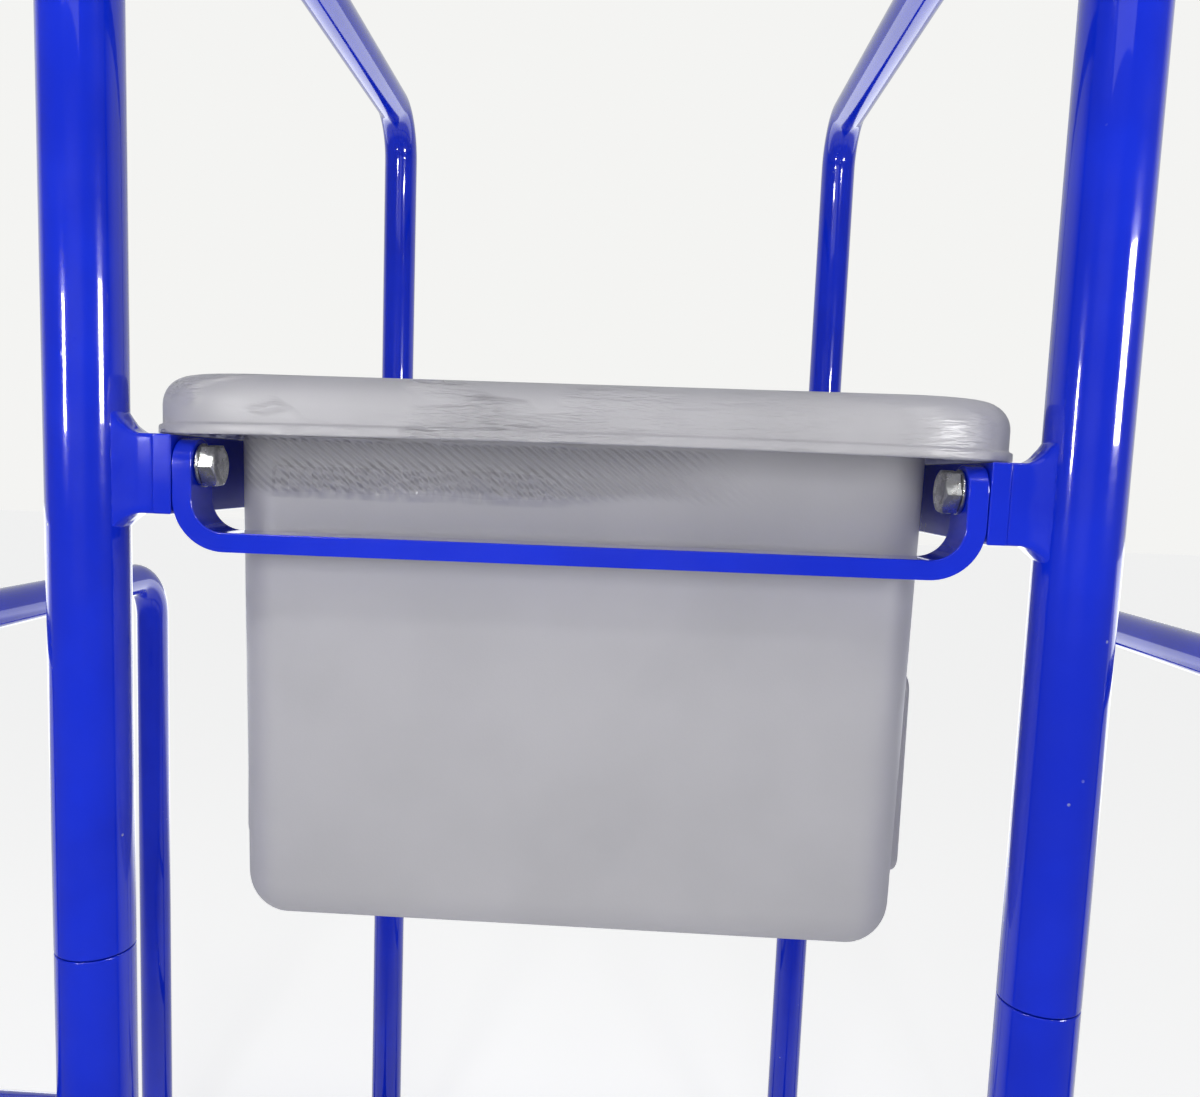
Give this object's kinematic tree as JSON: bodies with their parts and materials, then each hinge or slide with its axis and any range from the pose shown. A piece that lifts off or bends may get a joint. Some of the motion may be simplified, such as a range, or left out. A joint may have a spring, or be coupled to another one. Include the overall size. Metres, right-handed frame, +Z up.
{
  "type": "tubular frame section with bin",
  "caption": "Knock-down blue tubular steel frame with side hoops, holding a grey plastic bin in a flat-bar ring behind a swinging retainer bar.",
  "frame": {"origin": "on the floor, at the middle of the rectangle that the feet cover", "axes": "+Z up; the bin and the retainer bar face -Y; +X to the right, seen from the front"},
  "size_m": [1.0746, 0.6876, 1.2843],
  "materials": {
    "blue_paint": "gloss",
    "zinc_steel": "satin",
    "grey_plastic": "satin",
    "black_rubber": "matte"
  },
  "bodies": {
    "base": {"base_rail_front": "blue_paint", "base_rail_left": "blue_paint", "base_rail_rear": "blue_paint", "base_rail_right": "blue_paint", "foot_front_left": "black_rubber", "foot_front_right": "black_rubber", "foot_hoop_front_left": "black_rubber", "foot_hoop_front_right": "black_rubber", "foot_hoop_rear_left": "black_rubber", "foot_hoop_rear_right": "black_rubber", "foot_rear_left": "black_rubber", "foot_rear_right": "black_rubber", "front_brace_left": "blue_paint", "front_brace_right": "blue_paint", "lower_post_front_left": "blue_paint", "lower_post_front_right": "blue_paint", "lower_post_rear_left": "blue_paint", "lower_post_rear_right": "blue_paint", "rear_brace_left": "blue_paint", "rear_brace_right": "blue_paint", "side_hoop_left": "blue_paint", "side_hoop_right": "blue_paint", "spigot_front_left": "blue_paint", "spigot_front_right": "blue_paint", "spigot_rear_left": "blue_paint", "spigot_rear_right": "blue_paint"},
    "upper_section": {"bin_ring": "blue_paint", "pivot_bolt_left": "zinc_steel", "pivot_bolt_right": "zinc_steel", "pivot_washer_left": "zinc_steel", "pivot_washer_right": "zinc_steel", "ring_lug_left": "blue_paint", "ring_lug_right": "blue_paint", "top_cap_left": "blue_paint", "top_cap_right": "blue_paint", "top_rail_left": "blue_paint", "top_rail_right": "blue_paint", "upright_left": "blue_paint", "upright_right": "blue_paint"},
    "retainer": {"retainer_bar": "blue_paint"},
    "bin": {"bin": "grey_plastic"}
  },
  "joints": [
    {"name": "upper_lift", "type": "slide", "parent": "base", "child": "upper_section", "axis": [0, 0, 1], "range_m": [0, 0.07]},
    {"name": "retainer_swing", "type": "hinge", "parent": "upper_section", "child": "retainer", "pos_m": [0, -0.31548, 0.877], "axis": [-1, 0, 0], "range_deg": [0, 90]},
    {"name": "bin_lift", "type": "slide", "parent": "upper_section", "child": "bin", "axis": [0, 0, 1], "range_m": [0, 0.29]}
  ]
}
